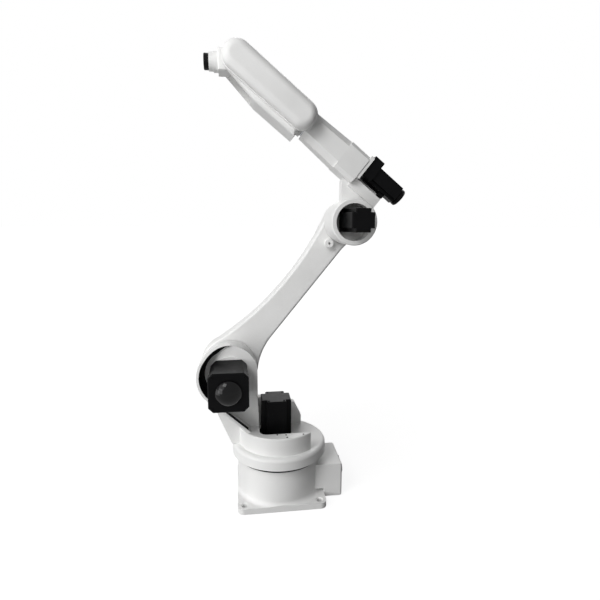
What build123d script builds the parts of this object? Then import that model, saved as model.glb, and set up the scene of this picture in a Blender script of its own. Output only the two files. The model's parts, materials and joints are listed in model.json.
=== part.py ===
"""Six-axis floor-mounted industrial robot arm, modelled at rest with its arm leaning back.

Millimetres. +Z is up, +X is the way the robot faces, +Y is its left side.
The origin is on the turntable axis, on the underside of the base plate.
"""
import os
from math import asin, atan2, cos, hypot, radians, sin, sqrt

from build123d import *

os.makedirs("parts", exist_ok=True)

# Fits shared by all pieces
running_gap = 0.3
clear_gap = 5
overrun = 40

# Base plate and column
plate_size = 300
plate_thickness = 20
plate_corner_radius = 22
bolt_inset = 23
bolt_spacing = plate_size - 2 * bolt_inset
bolt_hole_radius = 9
spot_face_radius = 13
spot_face_depth = 2.5
column_radius = 146
column_top = 150
column_flare = 14
slewing_margin = 16
slewing_width = 34
slewing_outer_radius = column_radius - slewing_margin
slewing_inner_radius = slewing_outer_radius - slewing_width

# Connector box behind the column
box_reach = 69
box_rear = column_radius + box_reach
box_near = 85
box_far = -69
box_bottom = 3
box_top = 123
box_edge_radius = 8
panel_middle = -16
panel_width = 100
panel_height = 84
panel_thickness = 3
panel_corner_radius = 6
power_socket_radius = 21
signal_socket_radius = 16
socket_wall = 4
socket_length = 12
socket_recess = 9
socket_spacing = 46

# Turntable and turret casting
flange_bottom = column_top + clear_gap + 2 * running_gap
flange_radius = 164
flange_height = 39
flange_edge_radius = 12
platform_radius = 142
platform_height = 61
platform_edge_radius = 4
notch_front = 72
notch_half_width = 102
notch_corner_radius = 25
gusset_thickness = 26
gusset_rear = 93
gusset_shoulder = 67
gusset_low = 33
gusset_high = 87
gusset_top = 112

# Shoulder axis, shoulder housing and rim wall
shoulder_x = 170
shoulder_z = 450
shoulder_radius = 95
upright_near = 30
upright_far = -45
upright_toe = 166
shoulder_block_height = 48
rim_radius = 106
rim_thickness = 8
rim_near = 80
rim_foot_x = 112
rim_tip_angle = 92
rim_ramp = 52
pilot_radius = 67
pilot_length = 8

# Servo motors
motor_notch_share = 0.17
j1_motor_x = 12
j1_motor_y = 10
j1_motor_size = 102
j1_flange_size = 112
j1_flange_thickness = 14
j1_flange_corner_radius = 8
j1_body_length = 112
j1_cap_length = 31
j2_motor_drop = 9
j2_motor_size = 120
j2_flange_size = 116
j2_flange_thickness = 16
j2_corner_chamfer = 15
j2_body_length = 105
j2_cover_size = 125
j2_cover_length = 30
j2_dome_radius = 40
j2_dome_height = 18
j2_dome_rim = 6
j3_motor_size = 72
j3_motor_rise = 6
j3_flange_size = 76
j3_flange_thickness = 14
j3_body_length = 124
j3_cap_length = 26
j4_motor_size = 58
j4_flange_rise = 31
j4_flange_size = 75
j4_flange_thickness = 37
j4_flange_chamfer = 4
j4_body_length = 104
j4_groove_radius = 26
j4_groove_length = 4
j4_cap_radius = 29.5
j4_cap_length = 12
j4_motor_rise = 25
j4_connector_radius = 9
j4_connector_length = 5
j4_connector_width = 20
j4_connector_depth = 12
j4_connector_setback = 60
cap_edge_chamfer = 3

# Lower arm, from the shoulder axis to the elbow axis
arm_lean = 39
arm_length = 650
arm_near = upright_far - clear_gap
arm_thickness = 65
arm_shoulder_radius = 101
arm_elbow_radius = 70
arm_waist_half_width = 37
arm_rear_half_width = 52
arm_shoulder_blend_radius = 229
arm_elbow_blend_radius = 150
arm_edge_radius = 9
shoulder_bearing_radius = 84
elbow_bearing_radius = 60
shoulder_cap_radius = 72
elbow_cap_radius = 48
arm_cap_thickness = 8
arm_cap_chamfer = 3
lug_radius = 14
lug_hole_radius = 4
lug_length = 20

# Elbow casting
elbow_radius = 75
elbow_bore_radius = 60
elbow_far = arm_near + clear_gap
elbow_near = 80
elbow_bore_floor = 20
elbow_rim_chamfer = 3
forearm_pitch = 39
forearm_offset = 145
shelf_rear = -30
shelf_bottom = 85
shelf_top = 120
shelf_near = 26
shelf_rib_near = -11
shelf_rib_top = 135
shelf_far = -44
neck_near = 14
neck_far = -24
neck_rear = -24
neck_front_x = 30

# Forearm stations, along the roll axis from above the elbow axis
motor_face = 72
block_rear = 84
block_front = 160
block_half_width = 50
block_chamfer = 12
adapter_half_width = 47
adapter_top = 202
adapter_corner_radius = 5
tube_front = 300
tube_rear_half_width = 50
tube_front_half_width = 44
tube_chamfer_share = 0.42
roll_bearing_radius = 38
roll_start = tube_front + clear_gap + 2 * running_gap
roll_flange_radius = 45
roll_flange_thickness = 10
housing_bottom = 64
housing_top = 48
housing_half_width = 62
housing_shoulder = 470
fork_root = 485
wrist_station = 585
fork_end_radius = 46
fork_gap_half = 42
housing_edge_radius = 12

# Belt cover on the left side of the forearm, bearing cap on the right
cover_length = 250
cover_lip_radius = 48
cover_lip_thickness = 6
cover_inset = 3
cover_height = 30
cover_edge_radius = 26
far_cap_radius = 37
far_cap_thickness = 6
far_panel_length = 120
far_panel_height = 76
far_panel_thickness = 4
far_panel_corner_radius = 10

# Wrist and tool flange
wrist_half_height = 32
wrist_front = 58
wrist_edge_radius = 5
trunnion_radius = 26
collar_step_radius = 30
collar_step_length = 14
collar_radius = 27
collar_length = 14
tool_radius = 24
tool_thickness = 15
tool_edge_chamfer = 1.5
tool_pilot_radius = 10
tool_pilot_depth = 6
tool_bolt_circle_radius = 15.75
tool_bolt_radius = 2.5
tool_bolt_depth = 10
tool_bolt_count = 4


def towards(angle):
    """Unit vector in the XZ plane, at an angle above +X."""
    return Vector(cos(radians(angle)), 0, sin(radians(angle)))


def side_plane(origin, angle, y):
    """Sketch plane seen from the robot's left: local x at the angle, extruding towards -Y."""
    return Plane(origin=(origin.X, y, origin.Z), x_dir=towards(angle), z_dir=(0, -1, 0))


def section_plane(origin, angle, along):
    """Sketch plane square to the given direction: local x is +Y, local y is the upper side."""
    return Plane(origin=origin + towards(angle) * along, x_dir=(0, 1, 0), z_dir=towards(angle))


def tangent_point(centre, radius, point):
    """Where a line from the point touches the forward side of a circle."""
    dx = centre[0] - point[0]
    dz = centre[1] - point[1]
    reach = hypot(dx, dz)
    angle = atan2(dz, dx) - asin(radius / reach)
    run = sqrt(reach**2 - radius**2)
    return (point[0] + run * cos(angle), point[1] + run * sin(angle))


def notched_square(size):
    """Servo motor section: a square with a square notch out of each corner."""
    notch = size * motor_notch_share
    Rectangle(size, size - 2 * notch)
    Rectangle(size - 2 * notch, size)


def chamfered_square(half_width, corner):
    """Square with its four corners cut off at 45 degrees."""
    inner = half_width - corner
    Polygon(
        (half_width, -inner), (half_width, inner), (inner, half_width), (-inner, half_width),
        (-half_width, inner), (-half_width, -inner), (-inner, -half_width), (inner, -half_width),
        align=None,
    )


def keep(piece, name):
    """Label a finished piece and write it out."""
    piece.label = name
    export_step(piece, "parts/" + name + ".step")


# Frame of the arm at rest
shoulder = Vector(shoulder_x, 0, shoulder_z)
arm_angle = 90 + arm_lean
elbow = shoulder + towards(arm_angle) * arm_length
roll_base = elbow + towards(forearm_pitch + 90) * forearm_offset
wrist = roll_base + towards(forearm_pitch) * wrist_station

# Base plate, with a round boss that flares into it
flare_top = plate_thickness + column_flare
with BuildPart() as base_plate:
    with BuildSketch(Plane.XZ):
        with BuildLine():
            Polyline((column_radius, flare_top), (0, flare_top), (0, plate_thickness),
                     (column_radius + column_flare, plate_thickness))
            CenterArc((column_radius + column_flare, flare_top), column_flare, 180, 90)
        make_face()
    revolve(axis=Axis.Z)
    with BuildSketch():
        RectangleRounded(plate_size, plate_size, plate_corner_radius)
    extrude(amount=flare_top, mode=Mode.INTERSECT)
    with BuildSketch():
        RectangleRounded(plate_size, plate_size, plate_corner_radius)
    extrude(amount=plate_thickness)
    with Locations((0, 0, plate_thickness)):
        with GridLocations(bolt_spacing, bolt_spacing, 2, 2):
            CounterBoreHole(bolt_hole_radius, spot_face_radius, spot_face_depth)
keep(base_plate.part, "base_plate")

# Base column, standing on the boss
with BuildPart() as base_column:
    with BuildSketch(Plane.XY.offset(flare_top)):
        Circle(column_radius)
    extrude(amount=column_top - flare_top)
keep(base_column.part, "base_column")

# Slewing ring between the column and the turntable
with BuildPart() as slewing_ring:
    with BuildSketch(Plane.XY.offset(column_top)):
        Circle(slewing_outer_radius)
        Circle(slewing_inner_radius, mode=Mode.SUBTRACT)
    extrude(amount=flange_bottom - running_gap - column_top)
keep(slewing_ring.part, "slewing_ring")

# Connector box, curved to the column and stepped over the plate
with BuildPart() as connector_box:
    with BuildSketch(Plane.XY.offset(box_bottom)):
        with Locations((-box_rear / 2, (box_near + box_far) / 2)):
            Rectangle(box_rear, box_near - box_far)
    extrude(amount=box_top - box_bottom)
    rear_face = connector_box.faces().sort_by(Axis.X)[0]
    fillet(rear_face.edges(), box_edge_radius)
    with BuildSketch(Plane.XY.offset(box_bottom)):
        Circle(column_radius)
    extrude(amount=box_top - box_bottom, mode=Mode.SUBTRACT)
    with BuildSketch(Plane.XY.offset(box_bottom)):
        Rectangle(plate_size, plate_size)
    extrude(amount=flare_top - box_bottom, mode=Mode.SUBTRACT)
keep(connector_box.part, "connector_box")

panel_plane = Plane(origin=(-box_rear, panel_middle, (box_top + box_bottom) / 2), x_dir=(0, -1, 0),
                    z_dir=(-1, 0, 0))
with BuildPart() as connector_panel:
    with BuildSketch(panel_plane):
        RectangleRounded(panel_width, panel_height, panel_corner_radius)
    extrude(amount=panel_thickness)
keep(connector_panel.part, "connector_panel")


def socket(place, radius):
    """Round connector shell, open to the rear."""
    with BuildPart() as shell:
        with BuildSketch(panel_plane.offset(panel_thickness)):
            with Locations((place, 0)):
                Circle(radius)
        extrude(amount=socket_length)
        with BuildSketch(panel_plane.offset(panel_thickness + socket_length)):
            with Locations((place, 0)):
                Circle(radius - socket_wall)
        extrude(amount=-socket_recess, mode=Mode.SUBTRACT)
    return shell.part


keep(socket(socket_spacing / 2, power_socket_radius), "power_socket")
keep(socket(-socket_spacing / 2, signal_socket_radius), "signal_socket")

# Turntable flange
flange_top = flange_bottom + flange_height
with BuildPart() as turntable_flange:
    with BuildSketch(Plane.XY.offset(flange_bottom)):
        Circle(flange_radius)
    extrude(amount=flange_height)
    fillet(turntable_flange.edges().group_by(Axis.Z)[-1], flange_edge_radius)
keep(turntable_flange.part, "turntable_flange")

# Turret casting: platform with a motor bay, gusset, upright and rim wall
platform_top = flange_top + platform_height
shoulder_point = (shoulder_x, shoulder_z)
upright_rear = shoulder_x - shoulder_radius
toe = (upright_toe, flange_top)
upright_touch = tangent_point(shoulder_point, shoulder_radius, toe)
rim_foot = (rim_foot_x, platform_top)
rim_touch = tangent_point(shoulder_point, rim_radius, rim_foot)
rim_normal = ((shoulder_x - rim_touch[0]) / rim_radius, (shoulder_z - rim_touch[1]) / rim_radius)
rim_run = (-rim_normal[1], rim_normal[0])
sunk_foot = (rim_foot[0] + rim_run[0] * rim_thickness, rim_foot[1] + rim_run[1] * rim_thickness)
rim_inner_foot = (sunk_foot[0] + rim_normal[0] * rim_thickness, sunk_foot[1] + rim_normal[1] * rim_thickness)
rim_inner_touch = (shoulder_x - rim_normal[0] * (rim_radius - rim_thickness),
                   shoulder_z - rim_normal[1] * (rim_radius - rim_thickness))
tip_way = towards(rim_tip_angle)
rim_tip = (shoulder_x + tip_way.X * rim_radius, shoulder_z + tip_way.Z * rim_radius)
rim_inner_tip = (shoulder_x + tip_way.X * (rim_radius - rim_thickness),
                 shoulder_z + tip_way.Z * (rim_radius - rim_thickness))

with BuildPart() as turret_casting:
    with BuildSketch(Plane.XY.offset(flange_top)):
        Circle(platform_radius)
    extrude(amount=platform_height)
    fillet(turret_casting.edges().group_by(Axis.Z)[-1], platform_edge_radius)
    with BuildSketch(Plane.XY.offset(flange_top)):
        bay_length = notch_front + platform_radius + overrun
        bay_width = notch_half_width + platform_radius + overrun
        with Locations((notch_front - bay_length / 2, notch_half_width - bay_width / 2)):
            RectangleRounded(bay_length, bay_width, notch_corner_radius)
    extrude(amount=platform_height, mode=Mode.SUBTRACT)
    # Gusset wall along the far side of the motor bay
    with BuildSketch(Plane.XZ.offset(notch_half_width)):
        with BuildLine():
            Polyline((upright_rear, flange_top), (-gusset_rear, flange_top),
                     (-gusset_rear, flange_top + gusset_low), (-gusset_shoulder, flange_top + gusset_high),
                     (notch_front / 2, flange_top + gusset_top), (upright_rear, flange_top + gusset_top),
                     close=True)
        make_face()
    extrude(amount=gusset_thickness)
    # Shoulder block that ties the gusset to the upright
    with BuildSketch(Plane.XZ.offset(-upright_near)):
        with BuildLine():
            Polyline((notch_front, platform_top), (notch_front, platform_top + shoulder_block_height),
                     (upright_rear, platform_top + shoulder_block_height),
                     (platform_radius - gusset_thickness, platform_top), close=True)
        make_face()
    extrude(amount=upright_near + notch_half_width + gusset_thickness)
    # Upright and shoulder housing
    with BuildSketch(Plane.XZ.offset(-upright_near)):
        with BuildLine():
            Polyline((upright_rear, shoulder_z), (upright_rear, flange_top), toe, upright_touch,
                     shoulder_point, close=True)
        make_face()
        with Locations(shoulder_point):
            Circle(shoulder_radius)
    extrude(amount=upright_near - upright_far)
    # Rim wall round the front of the shoulder, running down to the platform
    with BuildSketch(Plane.XZ.offset(-rim_near)):
        with BuildLine():
            Line(sunk_foot, rim_touch)
            ThreePointArc(rim_touch, (shoulder_x + rim_radius, shoulder_z), rim_tip)
            Line(rim_tip, rim_inner_tip)
            ThreePointArc(rim_inner_tip, (shoulder_x + rim_radius - rim_thickness, shoulder_z),
                          rim_inner_touch)
            Line(rim_inner_touch, rim_inner_foot)
            Line(rim_inner_foot, sunk_foot)
        make_face()
    extrude(amount=rim_near - upright_near)
    # The rim wall runs out to a point at the top
    rim_top = shoulder_z + rim_radius
    with BuildSketch(Plane.YZ.offset(shoulder_x - rim_radius)):
        with BuildLine():
            Polyline((upright_near, rim_top), (rim_near, rim_top - rim_ramp),
                     (rim_near + overrun, rim_top - rim_ramp), (rim_near + overrun, rim_top), close=True)
        make_face()
    extrude(amount=2 * rim_radius, mode=Mode.SUBTRACT)
keep(turret_casting.part, "turret_casting")

# Bearing ring on the far face of the shoulder housing
with BuildPart() as shoulder_bearing:
    with BuildSketch(side_plane(shoulder, 0, upright_far)):
        Circle(shoulder_bearing_radius)
    extrude(amount=clear_gap - running_gap)
keep(shoulder_bearing.part, "shoulder_bearing")

# Turntable motor, standing in the bay
j1_centre = (j1_motor_x, j1_motor_y)
j1_body_bottom = flange_top + j1_flange_thickness
j1_cap_bottom = j1_body_bottom + j1_body_length
with BuildPart() as j1_motor_flange:
    with BuildSketch(Plane.XY.offset(flange_top)):
        with Locations(j1_centre):
            RectangleRounded(j1_flange_size, j1_flange_size, j1_flange_corner_radius)
    extrude(amount=j1_flange_thickness)
keep(j1_motor_flange.part, "j1_motor_flange")

with BuildPart() as j1_motor_body:
    with BuildSketch(Plane.XY.offset(j1_body_bottom)):
        with Locations(j1_centre):
            notched_square(j1_motor_size)
    extrude(amount=j1_body_length)
keep(j1_motor_body.part, "j1_motor_body")

with BuildPart() as j1_motor_cap:
    with BuildSketch(Plane.XY.offset(j1_cap_bottom)):
        with Locations(j1_centre):
            notched_square(j1_motor_size)
    extrude(amount=j1_cap_length)
    chamfer(j1_motor_cap.faces().sort_by(Axis.Z)[-1].edges(), cap_edge_chamfer)
keep(j1_motor_cap.part, "j1_motor_cap")

# Shoulder motor, standing out of the left side of the shoulder
j2_centre = shoulder - towards(90) * j2_motor_drop
j2_flange_near = upright_near + pilot_length + j2_flange_thickness
j2_body_near = j2_flange_near + j2_body_length
j2_cover_near = j2_body_near + j2_cover_length
with BuildPart() as j2_motor_pilot:
    with BuildSketch(side_plane(j2_centre, 0, upright_near + pilot_length)):
        Circle(pilot_radius)
    extrude(amount=pilot_length)
keep(j2_motor_pilot.part, "j2_motor_pilot")

with BuildPart() as j2_motor_flange:
    with BuildSketch(side_plane(j2_centre, 0, j2_flange_near)):
        chamfered_square(j2_flange_size / 2, j2_corner_chamfer)
    extrude(amount=j2_flange_thickness)
keep(j2_motor_flange.part, "j2_motor_flange")

with BuildPart() as j2_motor_body:
    with BuildSketch(side_plane(j2_centre, 0, j2_body_near)):
        chamfered_square(j2_motor_size / 2, j2_corner_chamfer)
    extrude(amount=j2_body_length)
keep(j2_motor_body.part, "j2_motor_body")

with BuildPart() as j2_motor_cover:
    with BuildSketch(side_plane(j2_centre, 0, j2_cover_near)):
        chamfered_square(j2_cover_size / 2, j2_corner_chamfer)
    extrude(amount=j2_cover_length)
    chamfer(j2_motor_cover.faces().sort_by(Axis.Y)[-1].edges(), cap_edge_chamfer)
keep(j2_motor_cover.part, "j2_motor_cover")

with BuildPart() as j2_motor_dome:
    with BuildSketch(Plane(origin=(j2_centre.X, j2_cover_near, j2_centre.Z), x_dir=(1, 0, 0), z_dir=(0, 0, 1))):
        with BuildLine():
            Polyline((0, j2_dome_rim + j2_dome_height), (0, 0), (j2_dome_radius, 0),
                     (j2_dome_radius, j2_dome_rim))
            dome_bulge = (j2_dome_radius**2 + j2_dome_height**2) / (2 * j2_dome_height)
            RadiusArc((j2_dome_radius, j2_dome_rim), (0, j2_dome_rim + j2_dome_height), -dome_bulge)
        make_face()
    revolve(axis=Axis(j2_centre, (0, 1, 0)))
keep(j2_motor_dome.part, "j2_motor_dome")

# Lower arm: two round ends, a hollow front edge and a straight rear edge
radius_slope = (arm_shoulder_radius - arm_elbow_radius) / arm_length
waist_base = (arm_length**2 + arm_shoulder_radius**2 - arm_elbow_radius**2) / (2 * arm_length)
waist_a = radius_slope**2
waist_b = 2 * (arm_shoulder_radius - arm_waist_half_width - radius_slope * waist_base)
waist_c = waist_base**2 - arm_shoulder_radius**2 + arm_waist_half_width**2
waist_radius = 2 * waist_c / (waist_b + sqrt(waist_b**2 - 4 * waist_a * waist_c))
waist_along = radius_slope * waist_radius + waist_base
waist_out = waist_radius + arm_waist_half_width
shoulder_share = arm_shoulder_radius / (waist_radius + arm_shoulder_radius)
elbow_share = arm_elbow_radius / (waist_radius + arm_elbow_radius)
shoulder_touch = (waist_along * shoulder_share, waist_out * shoulder_share)
elbow_touch = (arm_length + (waist_along - arm_length) * elbow_share, waist_out * elbow_share)
shoulder_blend_centre = arm_rear_half_width + arm_shoulder_blend_radius
shoulder_blend_reach = arm_shoulder_radius + arm_shoulder_blend_radius
shoulder_run = sqrt(shoulder_blend_reach**2 - shoulder_blend_centre**2)
shoulder_blend_share = arm_shoulder_radius / shoulder_blend_reach
elbow_blend_centre = arm_rear_half_width + arm_elbow_blend_radius
elbow_blend_reach = arm_elbow_radius + arm_elbow_blend_radius
elbow_run = sqrt(elbow_blend_reach**2 - elbow_blend_centre**2)
elbow_blend_share = arm_elbow_radius / elbow_blend_reach
rear_shoulder_touch = (shoulder_run * shoulder_blend_share, shoulder_blend_centre * shoulder_blend_share)
rear_elbow_touch = (arm_length - elbow_run * elbow_blend_share, elbow_blend_centre * elbow_blend_share)
rear_line_start = (shoulder_run, arm_rear_half_width)
rear_line_end = (arm_length - elbow_run, arm_rear_half_width)

with BuildPart() as lower_arm:
    with BuildSketch(side_plane(shoulder, arm_angle, arm_near)):
        with BuildLine():
            RadiusArc(rear_shoulder_touch, rear_line_start, -arm_shoulder_blend_radius)
            Line(rear_line_start, rear_line_end)
            RadiusArc(rear_line_end, rear_elbow_touch, -arm_elbow_blend_radius)
            ThreePointArc(rear_elbow_touch, (arm_length + arm_elbow_radius, 0),
                          (elbow_touch[0], -elbow_touch[1]))
            ThreePointArc((elbow_touch[0], -elbow_touch[1]), (waist_along, -arm_waist_half_width),
                          (shoulder_touch[0], -shoulder_touch[1]))
            ThreePointArc((shoulder_touch[0], -shoulder_touch[1]), (-arm_shoulder_radius, 0),
                          rear_shoulder_touch)
        make_face()
    extrude(amount=arm_thickness)
    arm_faces = lower_arm.faces().filter_by(Axis.Y)
    fillet(arm_faces.edges(), arm_edge_radius)
keep(lower_arm.part, "lower_arm")

arm_far = arm_near - arm_thickness


def arm_cap(centre, radius):
    """Round cover on the far face of the arm."""
    with BuildPart() as cap:
        with BuildSketch(side_plane(centre, 0, arm_far)):
            Circle(radius)
        extrude(amount=arm_cap_thickness)
        chamfer(cap.edges().group_by(Axis.Y)[0], arm_cap_chamfer)
    return cap.part


keep(arm_cap(shoulder, shoulder_cap_radius), "shoulder_cap")
keep(arm_cap(elbow, elbow_cap_radius), "elbow_cap")

# Zero-mark lug on the near face of the arm, just clear of the elbow
lug_centre = elbow - towards(arm_angle) * (elbow_radius + clear_gap + lug_radius)
with BuildPart() as zero_lug:
    with BuildSketch(side_plane(lug_centre, arm_angle, arm_near + lug_length)):
        Circle(lug_radius)
        Circle(lug_hole_radius, mode=Mode.SUBTRACT)
    extrude(amount=lug_length)
keep(zero_lug.part, "zero_lug")

# Elbow casting: bored ring, neck and shelf
neck_front_low = neck_front_x * cos(radians(forearm_pitch)), -neck_front_x * sin(radians(forearm_pitch))
with BuildPart() as elbow_casting:
    with BuildSketch(side_plane(elbow, forearm_pitch, elbow_near)):
        Circle(elbow_radius)
    extrude(amount=elbow_near - elbow_far)
    chamfer(elbow_casting.edges().group_by(Axis.Y)[-1], elbow_rim_chamfer)
    # Neck, with an upright front edge
    with BuildSketch(side_plane(elbow, forearm_pitch, neck_near)):
        with BuildLine():
            rise = (shelf_bottom - neck_front_low[1]) / cos(radians(forearm_pitch))
            neck_front = neck_front_low[0] + rise * sin(radians(forearm_pitch))
            Polyline((neck_rear, 0), neck_front_low, (neck_front, shelf_bottom),
                     (neck_front, forearm_offset - block_half_width),
                     (neck_rear, forearm_offset - block_half_width), close=True)
        make_face()
    extrude(amount=neck_near - neck_far)
    # Shelf under the roll motor
    with BuildSketch(side_plane(elbow, forearm_pitch, shelf_near)):
        with BuildLine():
            Polyline((shelf_rear, shelf_bottom), (block_rear, shelf_bottom), (block_rear, shelf_top),
                     (shelf_rear, shelf_top), close=True)
        make_face()
    extrude(amount=shelf_near - shelf_far)
    # Rib along the far side of the shelf, up to the roll motor
    with BuildSketch(side_plane(elbow, forearm_pitch, shelf_rib_near)):
        with BuildLine():
            Polyline((shelf_rear, shelf_top), (motor_face, shelf_top), (motor_face, shelf_rib_top),
                     (shelf_rear, shelf_rib_top), close=True)
        make_face()
    extrude(amount=shelf_rib_near - shelf_far)
    with BuildSketch(side_plane(elbow, forearm_pitch, elbow_near)):
        Circle(elbow_bore_radius)
    extrude(amount=elbow_near - elbow_bore_floor, mode=Mode.SUBTRACT)
keep(elbow_casting.part, "elbow_casting")

with BuildPart() as elbow_bearing:
    with BuildSketch(side_plane(elbow, 0, elbow_far)):
        Circle(elbow_bearing_radius)
    extrude(amount=clear_gap - running_gap)
keep(elbow_bearing.part, "elbow_bearing")

# Elbow motor, standing out of the bore
j3_body_far = elbow_bore_floor + j3_flange_thickness
j3_cap_far = j3_body_far + j3_body_length
j3_centre = elbow + towards(90) * j3_motor_rise
with BuildPart() as j3_motor_flange:
    with BuildSketch(side_plane(j3_centre, 0, j3_body_far)):
        Rectangle(j3_flange_size, j3_flange_size)
    extrude(amount=j3_flange_thickness)
keep(j3_motor_flange.part, "j3_motor_flange")

with BuildPart() as j3_motor_body:
    with BuildSketch(side_plane(j3_centre, 0, j3_cap_far)):
        notched_square(j3_motor_size)
    extrude(amount=j3_body_length)
keep(j3_motor_body.part, "j3_motor_body")

with BuildPart() as j3_motor_cap:
    with BuildSketch(side_plane(j3_centre, 0, j3_cap_far + j3_cap_length)):
        notched_square(j3_motor_size)
    extrude(amount=j3_cap_length)
    chamfer(j3_motor_cap.faces().sort_by(Axis.Y)[-1].edges(), cap_edge_chamfer)
keep(j3_motor_cap.part, "j3_motor_cap")

# Gear block, adapter plate and tapered tube of the fixed half of the forearm
with BuildPart() as gear_block:
    with BuildSketch(section_plane(roll_base, forearm_pitch, block_rear)):
        chamfered_square(block_half_width, block_chamfer)
    extrude(amount=block_front - block_rear)
keep(gear_block.part, "gear_block")

with BuildPart() as adapter_plate:
    adapter_height = adapter_top - shelf_top
    with BuildSketch(section_plane(roll_base, forearm_pitch, motor_face)):
        with Locations((0, shelf_top + adapter_height / 2 - forearm_offset)):
            RectangleRounded(2 * adapter_half_width, adapter_height, adapter_corner_radius)
    extrude(amount=block_rear - motor_face)
keep(adapter_plate.part, "adapter_plate")

with BuildPart() as forearm_tube:
    with BuildSketch(section_plane(roll_base, forearm_pitch, block_front)):
        chamfered_square(tube_rear_half_width, tube_rear_half_width * tube_chamfer_share)
    with BuildSketch(section_plane(roll_base, forearm_pitch, tube_front)):
        chamfered_square(tube_front_half_width, tube_front_half_width * tube_chamfer_share)
    loft(ruled=True)
keep(forearm_tube.part, "forearm_tube")

with BuildPart() as roll_bearing:
    with BuildSketch(section_plane(roll_base, forearm_pitch, tube_front)):
        Circle(roll_bearing_radius)
    extrude(amount=roll_start - running_gap - tube_front)
keep(roll_bearing.part, "roll_bearing")

# Roll motor behind the adapter plate
roll_motor_base = roll_base + towards(forearm_pitch + 90) * j4_motor_rise
j4_body_front = motor_face - j4_flange_thickness
j4_body_rear = j4_body_front - j4_body_length
with BuildPart() as j4_motor_flange:
    with BuildSketch(section_plane(roll_base, forearm_pitch, j4_body_front)):
        with Locations((0, j4_flange_rise)):
            chamfered_square(j4_flange_size / 2, j4_flange_chamfer)
    extrude(amount=j4_flange_thickness)
keep(j4_motor_flange.part, "j4_motor_flange")

with BuildPart() as j4_motor_body:
    with BuildSketch(section_plane(roll_motor_base, forearm_pitch, j4_body_rear)):
        notched_square(j4_motor_size)
    extrude(amount=j4_body_length)
keep(j4_motor_body.part, "j4_motor_body")

with BuildPart() as j4_motor_cap:
    with BuildSketch(section_plane(roll_motor_base, forearm_pitch, j4_body_rear)):
        Circle(j4_groove_radius)
    extrude(amount=-j4_groove_length)
    with BuildSketch(section_plane(roll_motor_base, forearm_pitch, j4_body_rear - j4_groove_length)):
        Circle(j4_cap_radius)
    extrude(amount=-j4_cap_length)
    chamfer(j4_motor_cap.edges().sort_by(Axis((0, 0, 0), towards(forearm_pitch)))[0], cap_edge_chamfer)
keep(j4_motor_cap.part, "j4_motor_cap")

j4_connector_base = roll_motor_base + towards(forearm_pitch) * (j4_body_front - j4_connector_setback)
j4_connector_plane = Plane(origin=j4_connector_base - towards(forearm_pitch + 90) * (j4_motor_size / 2),
                           x_dir=(0, 1, 0), z_dir=-towards(forearm_pitch + 90))
with BuildPart() as j4_motor_connector:
    with BuildSketch(j4_connector_plane):
        Rectangle(j4_connector_width, j4_connector_width)
    extrude(amount=j4_connector_depth)
    with BuildSketch(j4_connector_plane.offset(j4_connector_depth)):
        Circle(j4_connector_radius)
    extrude(amount=j4_connector_length)
keep(j4_motor_connector.part, "j4_motor_connector")

# Rolling half of the forearm
with BuildPart() as roll_flange:
    with BuildSketch(section_plane(roll_base, forearm_pitch, roll_start)):
        Circle(roll_flange_radius)
    extrude(amount=roll_flange_thickness)
keep(roll_flange.part, "roll_flange")

housing_rear = roll_start + roll_flange_thickness


def forearm_shell():
    """Whole rolling casting, housing and fork together."""
    fork_centre = (wrist_station, 0)
    low = tangent_point(fork_centre, fork_end_radius, (housing_shoulder, -housing_bottom))
    high = tangent_point(fork_centre, fork_end_radius, (housing_shoulder, -housing_top))
    with BuildPart() as shell:
        with BuildSketch(side_plane(roll_base, forearm_pitch, housing_half_width)):
            with BuildLine():
                Polyline(low, (housing_shoulder, -housing_bottom), (housing_rear, -housing_bottom),
                         (housing_rear, housing_top), (housing_shoulder, housing_top), (high[0], -high[1]))
                ThreePointArc((high[0], -high[1]), (wrist_station + fork_end_radius, 0), low)
            make_face()
        extrude(amount=2 * housing_half_width)
        fillet(shell.faces().filter_by(Axis.Y).edges(), housing_edge_radius)
        with BuildSketch(side_plane(roll_base, forearm_pitch, fork_gap_half)):
            slot = wrist_station + fork_end_radius + overrun - fork_root
            with Locations((fork_root + slot / 2, 0)):
                Rectangle(slot, 2 * (housing_bottom + overrun))
        extrude(amount=2 * fork_gap_half, mode=Mode.SUBTRACT)
    return shell.part


casting = forearm_shell()
fork_plane = section_plane(roll_base, forearm_pitch, fork_root)
with BuildPart() as forearm_housing:
    add(casting)
    split(bisect_by=fork_plane, keep=Keep.BOTTOM)
keep(forearm_housing.part, "forearm_housing")

with BuildPart() as fork_left:
    add(casting)
    split(bisect_by=fork_plane, keep=Keep.TOP)
    split(bisect_by=Plane.XZ, keep=Keep.BOTTOM)
keep(fork_left.part, "fork_left")

with BuildPart() as fork_right:
    add(casting)
    split(bisect_by=fork_plane, keep=Keep.TOP)
    split(bisect_by=Plane.XZ, keep=Keep.TOP)
keep(fork_right.part, "fork_right")

# Belt cover with its lip, on the left of the forearm
cover_middle = wrist_station - cover_length / 2
lip_near = housing_half_width + cover_lip_thickness
with BuildPart() as belt_cover_lip:
    with BuildSketch(side_plane(roll_base, forearm_pitch, lip_near)):
        with Locations((cover_middle, 0)):
            SlotCenterToCenter(cover_length, 2 * cover_lip_radius)
    extrude(amount=cover_lip_thickness)
keep(belt_cover_lip.part, "belt_cover_lip")

with BuildPart() as belt_cover:
    with BuildSketch(side_plane(roll_base, forearm_pitch, lip_near + cover_height)):
        with Locations((cover_middle, 0)):
            SlotCenterToCenter(cover_length, 2 * (cover_lip_radius - cover_inset))
    extrude(amount=cover_height)
    fillet(belt_cover.faces().sort_by(Axis.Y)[-1].edges(), cover_edge_radius)
keep(belt_cover.part, "belt_cover")

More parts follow.
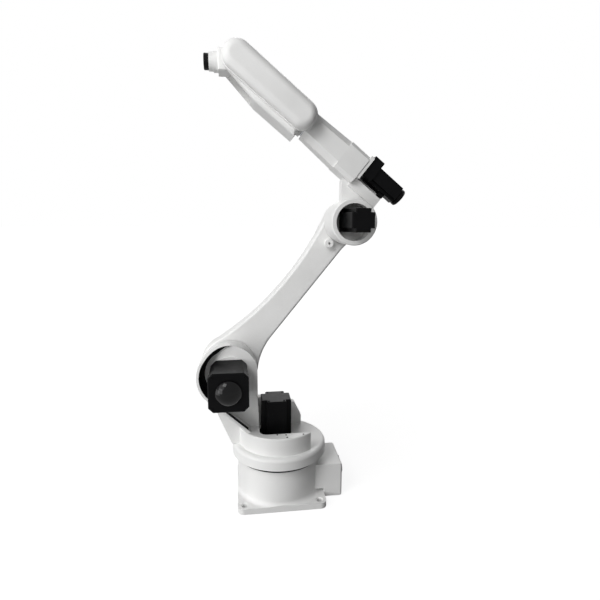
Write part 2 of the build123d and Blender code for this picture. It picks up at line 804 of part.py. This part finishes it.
# Bearing cap and access panel on the right of the forearm
with BuildPart() as fork_cap:
    with BuildSketch(side_plane(wrist, forearm_pitch, -housing_half_width)):
        Circle(far_cap_radius)
    extrude(amount=far_cap_thickness)
keep(fork_cap.part, "fork_cap")

with BuildPart() as housing_panel:
    with BuildSketch(side_plane(roll_base, forearm_pitch, -housing_half_width)):
        with Locations(((housing_rear + housing_shoulder) / 2, (housing_top - housing_bottom) / 2)):
            RectangleRounded(far_panel_length, far_panel_height, far_panel_corner_radius)
    extrude(amount=far_panel_thickness)
keep(housing_panel.part, "housing_panel")

# Wrist block with its two trunnions
wrist_half_width = fork_gap_half - clear_gap - running_gap
with BuildPart() as wrist_block:
    with BuildSketch(side_plane(wrist, 0, wrist_half_width)):
        Circle(wrist_half_height)
        with Locations((wrist_front / 2, 0)):
            Rectangle(wrist_front, 2 * wrist_half_height)
    extrude(amount=2 * wrist_half_width)
    fillet(wrist_block.faces().filter_by(Axis.Y).edges(), wrist_edge_radius)
    with BuildSketch(side_plane(wrist, 0, fork_gap_half - running_gap)):
        Circle(trunnion_radius)
    extrude(amount=2 * (fork_gap_half - running_gap))
keep(wrist_block.part, "wrist_block")

collar_end = wrist_front + collar_step_length + collar_length
with BuildPart() as wrist_collar:
    with BuildSketch(section_plane(wrist, 0, wrist_front)):
        Circle(collar_step_radius)
    extrude(amount=collar_step_length)
    with BuildSketch(section_plane(wrist, 0, wrist_front + collar_step_length)):
        Circle(collar_radius)
    extrude(amount=collar_length)
keep(wrist_collar.part, "wrist_collar")

# Tool flange with its pilot bore and bolt circle
tool_rear = collar_end + running_gap
tool_face = section_plane(wrist, 0, tool_rear + tool_thickness)
with BuildPart() as tool_flange:
    with BuildSketch(section_plane(wrist, 0, tool_rear)):
        Circle(tool_radius)
    extrude(amount=tool_thickness)
    chamfer(tool_flange.edges().group_by(Axis.X)[-1], tool_edge_chamfer)
    with BuildSketch(tool_face):
        Circle(tool_pilot_radius)
    extrude(amount=-tool_pilot_depth, mode=Mode.SUBTRACT)
    with BuildSketch(tool_face):
        with PolarLocations(tool_bolt_circle_radius, tool_bolt_count):
            Circle(tool_bolt_radius)
    extrude(amount=-tool_bolt_depth, mode=Mode.SUBTRACT)
keep(tool_flange.part, "tool_flange")
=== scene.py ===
"""Looks of the industrial robot arm: white painted castings with black servo motors."""
import json
import math

import bmesh
import bpy
from mathutils import Matrix, Vector


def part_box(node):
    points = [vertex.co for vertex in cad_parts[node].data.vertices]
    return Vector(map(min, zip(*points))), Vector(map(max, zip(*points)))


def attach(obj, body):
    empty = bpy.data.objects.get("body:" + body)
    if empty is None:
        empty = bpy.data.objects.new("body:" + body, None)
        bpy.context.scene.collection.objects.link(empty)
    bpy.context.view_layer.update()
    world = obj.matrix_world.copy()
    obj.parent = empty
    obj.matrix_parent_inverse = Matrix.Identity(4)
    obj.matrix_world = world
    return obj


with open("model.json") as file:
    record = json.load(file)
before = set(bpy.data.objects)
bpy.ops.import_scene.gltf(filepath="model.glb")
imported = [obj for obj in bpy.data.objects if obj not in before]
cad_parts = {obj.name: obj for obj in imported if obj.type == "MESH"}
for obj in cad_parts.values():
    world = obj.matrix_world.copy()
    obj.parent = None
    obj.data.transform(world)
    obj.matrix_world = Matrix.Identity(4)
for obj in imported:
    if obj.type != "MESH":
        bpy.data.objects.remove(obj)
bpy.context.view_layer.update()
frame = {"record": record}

MM = 0.001
LEFT = Vector((0, 1, 0))
RIGHT = Vector((0, -1, 0))
UP = Vector((0, 0, 1))
FORWARD = Vector((1, 0, 0))

# Node helpers
TINT_DETAIL = 3.0
TINT_EDGES = (0.35, 0.65)
ROUGH_DETAIL = 4.0
GRAIN_DETAIL = 2.0
GRAIN_STRENGTH = 0.2
BEVEL_SAMPLES = 8


def linear(hex_colour):
    """sRGB hex value as linear RGBA."""
    parts = [int(hex_colour[i:i + 2], 16) / 255 for i in (1, 3, 5)]
    return [c / 12.92 if c <= 0.04045 else ((c + 0.055) / 1.055) ** 2.4 for c in parts] + [1.0]


def add_node(tree, kind, settings=None, **links):
    """Add a node with its properties; links give its inputs, by name or as i and a number."""
    made = tree.nodes.new(kind)
    for key, value in (settings or {}).items():
        setattr(made, key, value)
    for key, value in links.items():
        numbered = key[0] == "i" and key[1:].isdigit()
        spot = made.inputs[int(key[1:]) if numbered else key]
        if isinstance(value, bpy.types.NodeSocket):
            tree.links.new(value, spot)
        else:
            spot.default_value = value
    return made


def add_math(tree, operation, first, second):
    """Output of a two-input maths node."""
    return add_node(tree, "ShaderNodeMath", {"operation": operation}, i0=first, i1=second).outputs[0]


def begin(name):
    """New node material with its shader and Object coordinates."""
    made = bpy.data.materials.new(name)
    made.use_nodes = True
    tree = made.node_tree
    shader = tree.nodes["Principled BSDF"]
    place = add_node(tree, "ShaderNodeTexCoord").outputs["Object"]
    return made, tree, shader, place


def tint(tree, place, size, tones):
    """Cloudy mix of two colours; size is the width of a patch in metres."""
    noise = add_node(tree, "ShaderNodeTexNoise", Vector=place, Scale=1 / size, Detail=TINT_DETAIL)
    ramp = add_node(tree, "ShaderNodeValToRGB", Fac=noise.outputs["Fac"])
    for stop, edge, tone in zip(ramp.color_ramp.elements, TINT_EDGES, tones):
        stop.position = edge
        stop.color = linear(tone)
    return ramp.outputs["Color"]


def rough(tree, place, size, low, high):
    """Roughness that drifts between two values over the given patch width."""
    noise = add_node(tree, "ShaderNodeTexNoise", Vector=place, Scale=1 / size, Detail=ROUGH_DETAIL)
    span = add_node(tree, "ShaderNodeMapRange", Value=noise.outputs["Fac"], i3=low, i4=high)
    return span.outputs["Result"]


def relief(tree, place, size, depth, edge):
    """Fine bump over edges that are eased to the given radius, or left sharp where that is zero."""
    grain = add_node(tree, "ShaderNodeTexNoise", Vector=place, Scale=1 / size, Detail=GRAIN_DETAIL)
    bump = add_node(tree, "ShaderNodeBump", Strength=GRAIN_STRENGTH, Distance=depth,
                    Height=grain.outputs["Fac"])
    if edge:
        eased = add_node(tree, "ShaderNodeBevel", {"samples": BEVEL_SAMPLES}, Radius=edge)
        tree.links.new(eased.outputs["Normal"], bump.inputs["Normal"])
    return bump.outputs["Normal"]


def surface(name, tones, patch, roughness, drift, grain=0.0, depth=0.0, edge=0.0, sheen=None, metal=0.0):
    """Node material; patch, drift and grain are the widths, in mm, of colour, roughness and bump."""
    made, tree, shader, place = begin(name)
    tree.links.new(tint(tree, place, patch * MM, tones), shader.inputs["Base Color"])
    tree.links.new(rough(tree, place, drift * MM, *roughness), shader.inputs["Roughness"])
    if grain:
        normal = relief(tree, place, grain * MM, depth * MM, edge * MM)
        tree.links.new(normal, shader.inputs["Normal"])
    if sheen is not None:
        shader.inputs["Specular IOR Level"].default_value = sheen
    shader.inputs["Metallic"].default_value = metal
    return made


# Materials
finishes = {
    # Two-pack paint sprayed over castings: satin, a slight orange peel, cool white
    "white": surface("white_paint", tones=("#E6E6E5", "#EFEFEE"), patch=180, roughness=(0.46, 0.58),
                     drift=60, grain=2.2, depth=0.08, sheen=0.22),
    # Powder-coated aluminium motor body: near black, satin, a fine even grain
    "black": surface("motor_black", tones=("#060607", "#0A0A0B"), patch=25, roughness=(0.40, 0.55),
                     drift=12, grain=0.9, depth=0.10, edge=1.2, sheen=0.06),
    # Injection-moulded cap: black, polished tool face, sharp highlights
    "gloss_black": surface("dome_black", tones=("#040405", "#060608"), patch=40, roughness=(0.06, 0.10),
                           drift=20, grain=4.0, depth=0.02, edge=1.0, sheen=0.18),
    # Black-oxide steel: dark, a faint grain, low sheen
    "black_flange": surface("flange_black", tones=("#0A0A0B", "#101011"), patch=10, roughness=(0.30, 0.45),
                            drift=6, grain=1.0, depth=0.05, edge=0.8, sheen=0.09),
    # Ground bearing steel: grey and bright, with a fine grain
    "steel": surface("ground_steel", tones=("#8E9092", "#A4A6A8"), patch=8, roughness=(0.25, 0.42),
                     drift=3, grain=0.6, depth=0.03, edge=0.5, metal=1.0),
    # Glass-filled nylon connector shell: dark grey, matt, a sparked mould texture
    "connector": surface("connector_black", tones=("#0A0A0B", "#101012"), patch=6, roughness=(0.55, 0.70),
                         drift=5, grain=0.7, depth=0.08, edge=0.7, sheen=0.10),
}
# Zinc-plated screw: pale grey metal with a soft bluish tone
screw_finish = surface("zinc_screw", tones=("#9DA1A5", "#B9BCBF"), patch=3, roughness=(0.28, 0.42),
                       drift=2, metal=1.0)

slot_of = {row["node"]: row["material_slot"] for row in frame["record"]["subparts"]}
for node_name, slot_name in slot_of.items():
    solid = bpy.data.objects[node_name]
    for spot in solid.material_slots:
        spot.material = finishes[slot_name]

# Places of the joints
joints = {row["name"]: row for row in frame["record"]["behaviour"]["joints"]}
shoulder = Vector(joints["shoulder_swing"]["pos_m"])
elbow = Vector(joints["elbow_swing"]["pos_m"])
wrist = Vector(joints["wrist_bend"]["pos_m"])
roll_way = Vector(joints["forearm_roll"]["axis"]).normalized()
roll_up = RIGHT.cross(roll_way)


# Pieces


def finish_piece(shape, name, body, slot_name, finish, smooth=False):
    """Turn a bmesh into a piece that rides on a body."""
    bmesh.ops.recalc_face_normals(shape, faces=shape.faces)
    mesh = bpy.data.meshes.new(name)
    shape.to_mesh(mesh)
    shape.free()
    for face in mesh.polygons:
        face.use_smooth = smooth
    mesh.materials.append(finish)
    piece = bpy.data.objects.new(name, mesh)
    bpy.context.collection.objects.link(piece)
    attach(piece, body)


def rubber_and_shade_piece(shape, name, body, smooth=False):
    """Turn a bmesh into a dark piece: the rubber pad, and the sheets of painted shade."""
    finish_piece(shape, name, body, "black", finishes["connector"], smooth)


def on_face(node, way, point=None):
    """Point, by default the middle of a node's box, moved to the face of the box on one side."""
    low, high = (Vector(corner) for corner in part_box(node))
    spot = (low + high) / 2 if point is None else point.copy()
    for axis, step in enumerate(way):
        if step:
            spot[axis] = high[axis] if step > 0 else low[axis]
    return spot


# Screws on the covers and motors
SCREW_SIDES = 18
SCREW_EASE_SHARE = 0.18
SOCKET_WALL_SHARE = 0.36
SOCKET_DEPTH_SHARE = 0.6
HALVES = (-0.5, 0.5)
BLACK = ("black", finishes["black"])
ZINC = ("steel", screw_finish)


def add_screw(shape, point, way, radius, height):
    """Socket-head screw standing on a surface, with its socket sunk in."""
    tip = point + way * height
    turn = way.to_track_quat("Z", "Y").to_matrix().to_4x4()
    place = Matrix.Translation(point) @ turn @ Matrix.Translation((0, 0, height / 2))
    head = bmesh.ops.create_cone(shape, cap_ends=True, segments=SCREW_SIDES, radius1=radius,
                                 radius2=radius, depth=height, matrix=place)
    faces = {face for vert in head["verts"] for face in vert.link_faces}
    top = max(faces, key=lambda face: face.calc_center_median().dot(way))
    bmesh.ops.bevel(shape, geom=list(top.edges), offset=radius * SCREW_EASE_SHARE, offset_type="OFFSET",
                    segments=2, profile=0.5, affect="EDGES", material=-1)
    caps = [face for face in shape.faces if len(face.verts) == SCREW_SIDES]
    top = min(caps, key=lambda face: (face.calc_center_median() - tip).length)
    bmesh.ops.inset_individual(shape, faces=[top], thickness=radius * SOCKET_WALL_SHARE)
    bmesh.ops.translate(shape, verts=list(top.verts), vec=way * (-height * SOCKET_DEPTH_SHARE))


def screw_set(name, body, kind, spots, way, radius, height):
    """Screws of one size, joined in one mesh; radius and height in mm."""
    shape = bmesh.new()
    for spot in spots:
        add_screw(shape, Vector(spot), way, radius * MM, height * MM)
    finish_piece(shape, name, body, *kind)


def corner_screws(name, body, kind, node, way, side, across, up, radius, height):
    """Screws at the corners of a rectangle in the middle of a node's face; sizes in mm."""
    middle = on_face(node, way)
    other = way.cross(side)
    spots = [middle + side * (across * MM * i) + other * (up * MM * j) for i in HALVES for j in HALVES]
    screw_set(name, body, kind, spots, way, radius, height)


def ring_screws(name, body, kind, node, hub, side, circle, count, radius, height):
    """Screws on a circle about a joint, on the right face of a node; sizes in mm."""
    middle = on_face(node, RIGHT, hub)
    other = RIGHT.cross(side)
    angles = [2 * math.pi * step / count for step in range(count)]
    spots = [middle + (side * math.cos(a) + other * math.sin(a)) * (circle * MM) for a in angles]
    screw_set(name, body, kind, spots, RIGHT, radius, height)


corner_screws("shoulder_motor_screws", "turret", BLACK, "j2_motor_cover", LEFT, FORWARD,
              across=100, up=100, radius=3.4, height=2.2)
corner_screws("elbow_motor_screws", "elbow", BLACK, "j3_motor_cap", LEFT, FORWARD,
              across=38, up=58, radius=2.4, height=1.5)
corner_screws("turntable_motor_screws", "turret", BLACK, "j1_motor_cap", UP, FORWARD,
              across=52, up=80, radius=3.0, height=2.0)
corner_screws("turntable_motor_bolts", "turret", ZINC, "j1_motor_flange", UP, FORWARD,
              across=92, up=92, radius=4.5, height=4.5)
ring_screws("shoulder_cap_screws", "lower_arm", ZINC, "shoulder_cap", shoulder, FORWARD,
            circle=62, count=12, radius=4.5, height=3.5)
ring_screws("elbow_cap_screws", "lower_arm", ZINC, "elbow_cap", elbow, FORWARD,
            circle=40, count=8, radius=3.5, height=3.0)
ring_screws("fork_cap_screws", "forearm", ZINC, "fork_cap", wrist, roll_way,
            circle=30, count=6, radius=2.6, height=2.2)
corner_screws("housing_panel_screws", "forearm", ZINC, "housing_panel", RIGHT, roll_way,
              across=104, up=60, radius=2.6, height=2.0)
corner_screws("connector_panel_screws", "base", ZINC, "connector_panel", -FORWARD, LEFT,
              across=88, up=72, radius=2.6, height=2.0)

# Small screws on top of the turret's platform, at X and Y in mm
PLATFORM_HEIGHT = 61 * MM
PLATFORM_SPOTS = ((15, 108), (-14, 112), (-16, 130), (-72, 114))
platform_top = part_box("turret_casting")[0][2] + PLATFORM_HEIGHT
screw_set("platform_screws", "turret", BLACK,
          [(x * MM, y * MM, platform_top) for x, y in PLATFORM_SPOTS], UP, radius=2.6, height=1.4)

# Dark sheets on the inner face of the rim wall round the shoulder motor: painted shade where the rim's
# hollow lies in shadow
RIM_RADIUS = 98 * MM
RIM_FAR = 30.5 * MM
RIM_NEAR = 79 * MM
RIM_TOP_ANGLE = math.radians(91.5)
RIM_FOOT_ANGLE = math.radians(-48.1)
RIM_FOOT_RUN = 168 * MM
RIM_TIP_RISE = 105 * MM
RIM_TIP_DROP = 52 * MM
SHADE_SHEET_THICKNESS = 1.2 * MM
STRIP_WIDTH = 16 * MM
ARC_STEPS = 48


def rim_shade_sheet(name, start, sweep, run, far):
    """Dark sheet of painted shade on the inner face of the rim: an arc or a straight run, from far to the
    near edge.
    """
    shape = bmesh.new()
    hub = Vector((shoulder.x, far, shoulder.z))
    way = Vector((math.cos(start), 0, math.sin(start)))
    first = shape.verts.new(hub + way * (RIM_RADIUS - SHADE_SHEET_THICKNESS / 2))
    if sweep:
        bmesh.ops.spin(shape, geom=[first], cent=hub, axis=LEFT, angle=sweep, steps=ARC_STEPS)
    else:
        last = bmesh.ops.extrude_vert_indiv(shape, verts=[first])["verts"][0]
        last.co += Vector((math.sin(start), 0, -math.cos(start))) * run
    wall = bmesh.ops.extrude_edge_only(shape, edges=list(shape.edges))
    moved = [item for item in wall["geom"] if isinstance(item, bmesh.types.BMVert)]
    bmesh.ops.translate(shape, verts=moved, vec=LEFT * (RIM_NEAR - far))
    # The upper end is cut to the slope of the rim's tip
    ramp = Vector((0, RIM_TIP_DROP, RIM_NEAR - RIM_FAR)).normalized()
    tip = Vector((shoulder.x, RIM_FAR, shoulder.z + RIM_TIP_RISE))
    bmesh.ops.bisect_plane(shape, geom=list(shape.verts) + list(shape.edges) + list(shape.faces),
                           plane_co=tip, plane_no=ramp, clear_outer=True)
    bmesh.ops.recalc_face_normals(shape, faces=shape.faces)
    bmesh.ops.solidify(shape, geom=list(shape.faces), thickness=SHADE_SHEET_THICKNESS)
    rubber_and_shade_piece(shape, name, "turret", smooth=True)


rim_shade_sheet("rim_painted_shade", RIM_TOP_ANGLE, RIM_TOP_ANGLE - RIM_FOOT_ANGLE, 0, RIM_FAR)
rim_shade_sheet("rim_foot_painted_shade", RIM_FOOT_ANGLE, 0, RIM_FOOT_RUN, RIM_NEAR - STRIP_WIDTH)

# Dark ring on the shoulder face, inside the rim: painted shade where the rim's hollow is in shadow
SHADE_RING_INNER = 81 * MM
SHADE_RING_OUTER = 97 * MM
SHADE_RING_MIDDLE = (SHADE_RING_INNER + SHADE_RING_OUTER) / 2
SHADE_RING_START = math.radians(92)
SHADE_RING_SWEEP = math.radians(150)
SHADE_RING_TAPER = math.radians(28)
SHADE_RING_TIP_SHARE = 0.04
SHADE_RING_THICKNESS = 1.5 * MM


def shoulder_painted_shade():
    """Flat dark ring of painted shade that runs round the front of the shoulder."""
    shape = bmesh.new()
    hub = Vector((shoulder.x, RIM_FAR, shoulder.z))
    way = Vector((math.cos(SHADE_RING_START), 0, math.sin(SHADE_RING_START)))
    ends = [shape.verts.new(hub + way * radius) for radius in (SHADE_RING_INNER, SHADE_RING_OUTER)]
    side = shape.edges.new(ends)
    bmesh.ops.spin(shape, geom=ends + [side], cent=hub, axis=LEFT, angle=SHADE_RING_SWEEP, steps=ARC_STEPS)
    # The ring narrows to a point at its upper end
    for vert in shape.verts:
        arm = vert.co - hub
        past = SHADE_RING_START - math.atan2(arm.z, arm.x)
        if arm.length < SHADE_RING_MIDDLE and past < SHADE_RING_TAPER:
            width = (SHADE_RING_OUTER - SHADE_RING_INNER) * max(past / SHADE_RING_TAPER, SHADE_RING_TIP_SHARE)
            vert.co = hub + arm.normalized() * (SHADE_RING_OUTER - width)
    bmesh.ops.recalc_face_normals(shape, faces=shape.faces)
    bmesh.ops.solidify(shape, geom=list(shape.faces), thickness=SHADE_RING_THICKNESS)
    rubber_and_shade_piece(shape, "shoulder_painted_shade", "turret")


shoulder_painted_shade()

# Dark ring round the top of the column: painted shade under the turntable flange
SHADE_BAND_RADIUS = 146.1 * MM
SHADE_BAND_WALL = 0.9 * MM
SHADE_BAND_FOOT = 140.5 * MM
SHADE_BAND_TOP = 147 * MM
SHADE_BAND_STEPS = 96
WELD = 0.01 * MM


def flange_painted_shade():
    """Thin dark ring of painted shade on the column."""
    shape = bmesh.new()
    outer = SHADE_BAND_RADIUS + SHADE_BAND_WALL
    corners = [(SHADE_BAND_RADIUS, SHADE_BAND_FOOT), (outer, SHADE_BAND_FOOT), (outer, SHADE_BAND_TOP), (SHADE_BAND_RADIUS, SHADE_BAND_TOP)]
    verts = [shape.verts.new((radius, 0, height)) for radius, height in corners]
    edges = [shape.edges.new((verts[i - 1], verts[i])) for i in range(len(verts))]
    bmesh.ops.spin(shape, geom=verts + edges, cent=(0, 0, 0), axis=UP, angle=2 * math.pi, steps=SHADE_BAND_STEPS)
    bmesh.ops.remove_doubles(shape, verts=shape.verts, dist=WELD)
    rubber_and_shade_piece(shape, "flange_painted_shade", "base")


flange_painted_shade()

# Pad that fills the slit between the roll motor and the rib below it
PAD_LENGTH = 88 * MM
PAD_MIDDLE = 6 * MM
PAD_NEAR = -13 * MM
PAD_WIDTH = 24 * MM
PAD_FOOT = 135 * MM
PAD_HEIGHT = 6 * MM


def motor_pad():
    """Rubber block along the top of the rib."""
    shape = bmesh.new()
    middle = elbow + roll_way * PAD_MIDDLE + roll_up * (PAD_FOOT + PAD_HEIGHT / 2)
    middle += RIGHT * (PAD_WIDTH / 2 - PAD_NEAR)
    sides = Matrix((roll_way * PAD_LENGTH, LEFT * PAD_WIDTH, roll_up * PAD_HEIGHT))
    place = Matrix.Translation(middle) @ sides.transposed().to_4x4()
    bmesh.ops.create_cube(shape, size=1, matrix=place)
    rubber_and_shade_piece(shape, "motor_pad", "elbow")


motor_pad()

# Floor
FLOOR_HALF = 60
FLOOR_GREY = "#8A8A8A"
FLOOR_ROUGHNESS = 0.9
NEAR_LIFT = 0.86
FAR_LIFT = 0.97
NEAR_REACH = 0.5
FAR_REACH = 3.0
PLATE_COVER = 140 * MM
WHITE = (1, 1, 1, 1)


def seen_white(tree):
    """One for rays from the camera, off gloss or through glass, and zero for the rest."""
    path = add_node(tree, "ShaderNodeLightPath").outputs
    direct = add_math(tree, "MAXIMUM", path["Is Camera Ray"], path["Is Glossy Ray"])
    return add_math(tree, "MAXIMUM", direct, path["Is Transmission Ray"])


def floor():
    """Plain floor that looks white and keeps the shadow."""
    shape = bmesh.new()
    bmesh.ops.create_grid(shape, x_segments=1, y_segments=1, size=FLOOR_HALF)
    mesh = bpy.data.meshes.new("floor")
    shape.to_mesh(mesh)
    shape.free()
    made, tree, shader, place = begin("floor_white")
    shader.inputs["Base Color"].default_value = linear(FLOOR_GREY)
    shader.inputs["Roughness"].default_value = FLOOR_ROUGHNESS
    shader.inputs["Specular IOR Level"].default_value = 0.0
    shader.inputs["Emission Color"].default_value = WHITE
    # The floor under the plate stays dark, so the bolt holes read as holes
    size = add_node(tree, "ShaderNodeVectorMath", {"operation": "ABSOLUTE"}, i0=place)
    reach = add_node(tree, "ShaderNodeSeparateXYZ", Vector=size.outputs["Vector"]).outputs
    clear = add_math(tree, "GREATER_THAN", add_math(tree, "MAXIMUM", reach["X"], reach["Y"]), PLATE_COVER)
    # Elsewhere its lift grows with the distance, so that no horizon shows
    away = add_node(tree, "ShaderNodeVectorMath", {"operation": "LENGTH"}, i0=place)
    glow = add_node(tree, "ShaderNodeMapRange", Value=away.outputs["Value"], i1=NEAR_REACH, i2=FAR_REACH,
                    i3=NEAR_LIFT, i4=FAR_LIFT)
    lift = add_math(tree, "MULTIPLY", seen_white(tree), glow.outputs["Result"])
    tree.links.new(add_math(tree, "MULTIPLY", lift, clear), shader.inputs["Emission Strength"])
    mesh.materials.append(made)
    piece = bpy.data.objects.new("floor", mesh)
    bpy.context.collection.objects.link(piece)


floor()

# Room, brighter in front of the robot and on its left, so the castings shade off to the rear
REAR_LIGHT = 0.0
FRONT_LIGHT = 0.48
REAR_FACING = -0.3
FRONT_FACING = 1.0
BRIGHT_SIDE = (0.76, 0.60, 0.25)
world = bpy.data.worlds.new("studio")
world.use_nodes = True
sky = world.node_tree
background = sky.nodes["Background"]
around = add_node(sky, "ShaderNodeTexCoord").outputs["Generated"]
facing = add_node(sky, "ShaderNodeVectorMath", {"operation": "DOT_PRODUCT"}, i0=around, i1=BRIGHT_SIDE)
room = add_node(sky, "ShaderNodeMapRange", Value=facing.outputs["Value"], i1=REAR_FACING, i2=FRONT_FACING,
                i3=REAR_LIGHT, i4=FRONT_LIGHT)
level = add_node(sky, "ShaderNodeMapRange", Value=seen_white(sky), i3=room.outputs["Result"], i4=1.0)
sky.links.new(level.outputs["Result"], background.inputs["Strength"])
background.inputs["Color"].default_value = WHITE
bpy.context.scene.world = world


# Lamps


def sun(name, way, strength, spread):
    """Soft distant lamp that shines along a direction."""
    lamp = bpy.data.lights.new(name, "SUN")
    lamp.energy = strength
    lamp.angle = math.radians(spread)
    holder = bpy.data.objects.new(name, lamp)
    holder.rotation_euler = Vector(way).to_track_quat("-Z", "Y").to_euler()
    bpy.context.collection.objects.link(holder)


def soft_box(name, spot, target, power, width):
    """Square lamp at a spot, turned to a target."""
    lamp = bpy.data.lights.new(name, "AREA")
    lamp.energy = power
    lamp.size = width
    holder = bpy.data.objects.new(name, lamp)
    holder.location = spot
    holder.rotation_euler = (Vector(target) - Vector(spot)).to_track_quat("-Z", "Y").to_euler()
    holder.visible_camera = False
    bpy.context.collection.objects.link(holder)


sun("room_light", way=(-0.70, -0.53, -0.48), strength=0.6, spread=36)
sun("rear_fill", way=(0.25, 0.85, -0.45), strength=1.0, spread=40)
soft_box("key", spot=(1.15, 1.45, 2.3), target=(0.05, 0, 1.2), power=20, width=0.9)
soft_box("low_fill", spot=(2.0, 1.4, 0.7), target=(0.1, 0, 1.0), power=17, width=1.2)
soft_box("under_fill", spot=(1.3, 0.5, 0.35), target=(-0.05, 0, 1.2), power=2.8, width=0.6)

# Camera, level with the elbow and close to the arm
CAMERA_SPOT = Vector((0.1328, 1.508, 0.9588))
CAMERA_YAW = 0.1363
CAMERA_PITCH = 0.1738
CAMERA_ROLL = 0.0046
FOCAL_PIXELS = 451.4
IMAGE_PIXELS = 600
SENSOR = 36.0
CLIP_END = 200

lens = bpy.data.cameras.new("camera")
lens.sensor_width = SENSOR
lens.lens = FOCAL_PIXELS / IMAGE_PIXELS * SENSOR
lens.clip_end = CLIP_END
camera = bpy.data.objects.new("camera", lens)
level_way = Vector((-math.sin(CAMERA_YAW), -math.cos(CAMERA_YAW), 0))
look = level_way * math.cos(CAMERA_PITCH) - UP * math.sin(CAMERA_PITCH)
across = look.cross(UP).normalized()
above = across.cross(look)
right_way = across * math.cos(CAMERA_ROLL) + above * math.sin(CAMERA_ROLL)
up_way = above * math.cos(CAMERA_ROLL) - across * math.sin(CAMERA_ROLL)
turn = Matrix((right_way, up_way, -look)).transposed().to_4x4()
camera.matrix_world = Matrix.Translation(CAMERA_SPOT) @ turn
bpy.context.collection.objects.link(camera)
bpy.context.scene.camera = camera
bpy.context.scene.view_settings.view_transform = "Standard"
